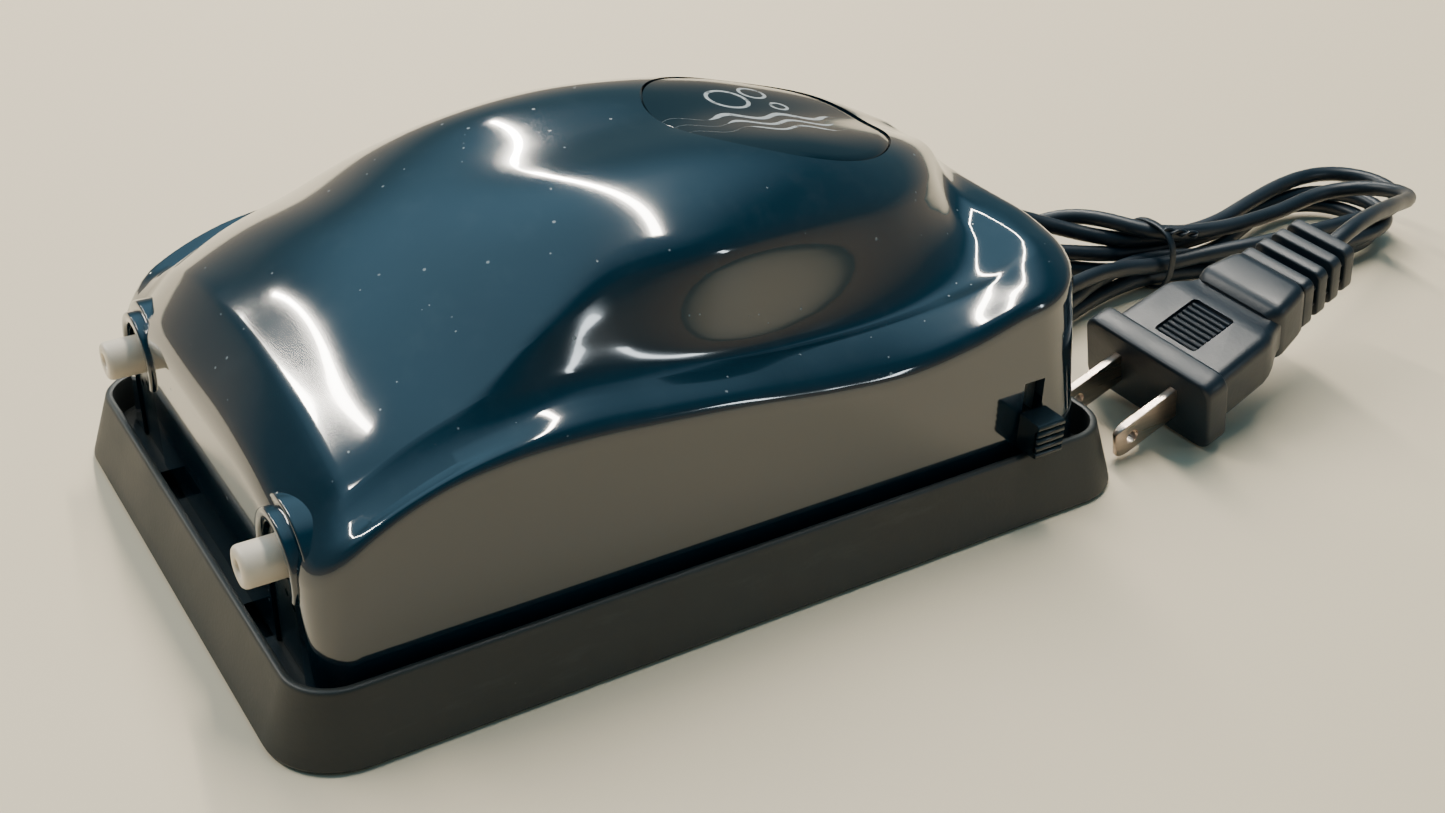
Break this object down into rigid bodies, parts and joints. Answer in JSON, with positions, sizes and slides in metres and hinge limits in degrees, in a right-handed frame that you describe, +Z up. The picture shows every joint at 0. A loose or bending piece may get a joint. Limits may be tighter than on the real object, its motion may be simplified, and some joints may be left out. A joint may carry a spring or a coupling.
{
  "type": "aquarium air pump",
  "caption": "Aquarium air pump with a hooded glossy casing in a rubber boot, side-by-side air outlets, sliding flow switch and a bundled mains cord with a flat plug",
  "frame": {"origin": "centre of the rubber boot's underside, where the pump stands", "axes": "+Z up, +Y along the casing from the air outlets to the mains cord, +X towards the flow switch's side"},
  "size_m": [0.1028, 0.2694, 0.0594],
  "materials": {
    "gloss_shell": "deep teal-black moulded plastic, polished, fine dust",
    "boot_rubber": "soft matte dark grey rubber",
    "base_plastic": "satin near-black moulded plastic",
    "badge": null,
    "cream_plastic": "cream satin moulded plastic",
    "black_pvc": "black satin PVC",
    "blade_metal": "nickel-plated brass, slightly tarnished",
    "soft_rubber": "black moulded rubber",
    "silicone": "milky silicone tube",
    "white_nylon": "natural nylon",
    "steel": "zinc-plated and laminated steel",
    "copper": "enamelled copper wire",
    "ferrite": "dark sintered ferrite",
    "felt": "pressed wool felt"
  },
  "bodies": {
    "pump_body": {"rubber_base": "boot_rubber", "lower_casing": "base_plastic", "upper_casing": "gloss_shell", "badge_plate": "badge", "outlet_nozzle_right": "cream_plastic", "outlet_nozzle_left": "cream_plastic", "cord_gland": "black_pvc", "mains_cord_tail": "black_pvc", "mains_cord_hank": "black_pvc", "hank_tie": "black_pvc", "mains_cord_lead": "black_pvc", "plug_body": "black_pvc", "plug_blade_right": "blade_metal", "plug_blade_left": "blade_metal", "switch_body": "white_nylon", "air_filter": "felt", "core_laminations": "steel", "coil_bobbin": "white_nylon", "coil_winding": "copper", "core_screw_1": "steel", "core_screw_2": "steel", "coil_lead_switch": "black_pvc", "coil_lead_mains": "black_pvc", "casing_screw_1": "steel", "casing_screw_2": "steel", "casing_screw_3": "steel", "casing_screw_4": "steel", "air_tube_right": "silicone", "air_tube_left": "silicone", "valve_box_right": "white_nylon", "valve_box_left": "white_nylon", "valve_plate_right": "white_nylon", "valve_plate_left": "white_nylon", "outlet_flap_right": "soft_rubber", "outlet_flap_left": "soft_rubber", "intake_flap_right": "soft_rubber", "intake_flap_left": "soft_rubber", "diaphragm_right": "soft_rubber", "diaphragm_left": "soft_rubber", "arm_mount_right": "soft_rubber", "arm_mount_left": "soft_rubber"},
    "flow_slider": {"switch_knob": "base_plastic"},
    "right_arm": {"armature_arm_right": "white_nylon", "arm_magnet_right": "ferrite", "diaphragm_screw_right": "steel"},
    "left_arm": {"armature_arm_left": "white_nylon", "arm_magnet_left": "ferrite", "diaphragm_screw_left": "steel"}
  },
  "joints": [
    {"name": "flow_slide", "type": "slide", "parent": "pump_body", "child": "flow_slider", "axis": [0, 0, 1], "range_m": [0, 0.0042]},
    {"name": "right_arm_swing", "type": "hinge", "parent": "pump_body", "child": "right_arm", "pos_m": [0.0278, 0.035, 0.022], "axis": [0, 0, 1], "range_deg": [-1.2, 1.2], "stiffness_Nm_per_rad": 0.5, "deforming": ["diaphragm_right"]},
    {"name": "left_arm_swing", "type": "hinge", "parent": "pump_body", "child": "left_arm", "pos_m": [-0.0278, 0.035, 0.022], "axis": [0, 0, 1], "range_deg": [-1.2, 1.2], "stiffness_Nm_per_rad": 0.5, "deforming": ["diaphragm_left"]}
  ],
  "couplings": [
    {"joint": "left_arm_swing", "follows": "right_arm_swing", "ratio": -1}
  ]
}
